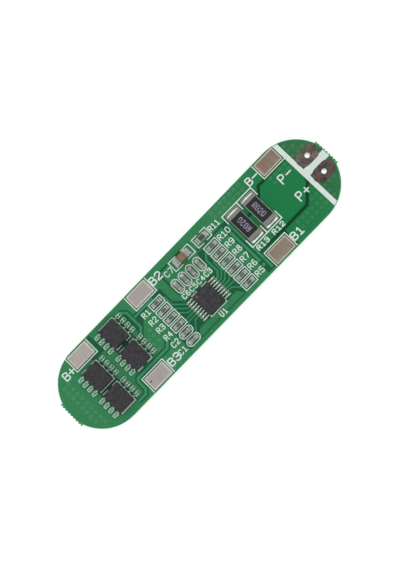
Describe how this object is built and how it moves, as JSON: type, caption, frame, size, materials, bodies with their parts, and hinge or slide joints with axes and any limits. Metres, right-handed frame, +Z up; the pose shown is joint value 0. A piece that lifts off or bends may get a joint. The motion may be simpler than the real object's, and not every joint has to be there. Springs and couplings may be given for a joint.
{
  "type": "battery management board",
  "caption": "Long round-ended green circuit board with edge solder tabs, two wire pads, power transistors, a monitor chip, current shunts and small chip parts.",
  "frame": {"origin": "middle of the board's underside, on the surface that it lies on", "axes": "+X along the board towards the two wire pads, +Y towards the edge with the B+, B2 and B- tabs, +Z up out of the component side"},
  "size_m": [0.072, 0.0176, 0.0033],
  "materials": {
    "laminate": "glass-epoxy board under satin green solder mask, cut edge matt",
    "masked_copper": "copper pour seen through satin green solder mask",
    "masked_trace": "copper trace seen through satin green solder mask",
    "masked_via": "plated hole tented by solder mask",
    "tinned_land": "hot-air levelled tin",
    "white_ink": "matt white printing ink",
    "tinned_tab": "dull tinned copper with a faint warm cast",
    "thin_tinned_tab": "thinly tinned copper that shows brown",
    "oxidised_copper": "bare copper, tarnished dark brown",
    "chip_moulding": "black moulding compound, fine matt",
    "transistor_moulding": "black moulding compound, fine matt",
    "tinned_lead": "tin-plated lead, satin",
    "plated_end": "tin-plated metal end, satin",
    "solder": "bright reflowed solder",
    "shunt_coat": "black protective coat over ceramic",
    "resistor_coat": "black glass coat over white ceramic",
    "brown_ceramic": "fired brown ceramic",
    "grey_ceramic": "fired grey-tan ceramic"
  },
  "bodies": {
    "root": {"circuit_board": "laminate", "copper_pours_top": "masked_copper", "signal_traces": "masked_trace", "copper_pours_bottom": "masked_copper", "vias": "masked_via", "component_lands": "tinned_land", "silkscreen": "white_ink", "tab_b_plus": "tinned_tab", "tab_b2": "tinned_tab", "tab_b_minus": "thin_tinned_tab", "tab_b3": "tinned_tab", "tab_b1": "thin_tinned_tab", "wire_pad_p_minus": "oxidised_copper", "wire_pad_p_plus": "oxidised_copper", "monitor_chip_body": "chip_moulding", "monitor_chip_leads": "tinned_lead", "transistor_q1_body": "transistor_moulding", "transistor_q1_leads": "tinned_lead", "transistor_q2_body": "transistor_moulding", "transistor_q2_leads": "tinned_lead", "transistor_q3_body": "transistor_moulding", "transistor_q3_leads": "tinned_lead", "transistor_q4_body": "transistor_moulding", "transistor_q4_leads": "tinned_lead", "shunt_r12_element": "shunt_coat", "shunt_r12_ends": "plated_end", "shunt_r13_element": "shunt_coat", "shunt_r13_ends": "plated_end", "resistor_r1": "resistor_coat", "resistor_r2": "resistor_coat", "resistor_r3": "resistor_coat", "resistor_r4": "resistor_coat", "resistor_r5": "resistor_coat", "resistor_r6": "resistor_coat", "resistor_r7": "resistor_coat", "resistor_r8": "resistor_coat", "resistor_r9": "resistor_coat", "resistor_r10": "resistor_coat", "resistor_r11": "resistor_coat", "resistor_ends": "plated_end", "capacitor_c1": "grey_ceramic", "capacitor_c2": "grey_ceramic", "capacitor_c3": "grey_ceramic", "capacitor_c4": "grey_ceramic", "capacitor_c5": "grey_ceramic", "capacitor_c6": "grey_ceramic", "capacitor_c7": "brown_ceramic", "capacitor_ends": "plated_end", "solder_transistors": "solder", "solder_monitor_chip": "solder", "solder_shunts": "solder", "solder_resistors": "solder", "solder_capacitors": "solder"}
  },
  "joints": []
}
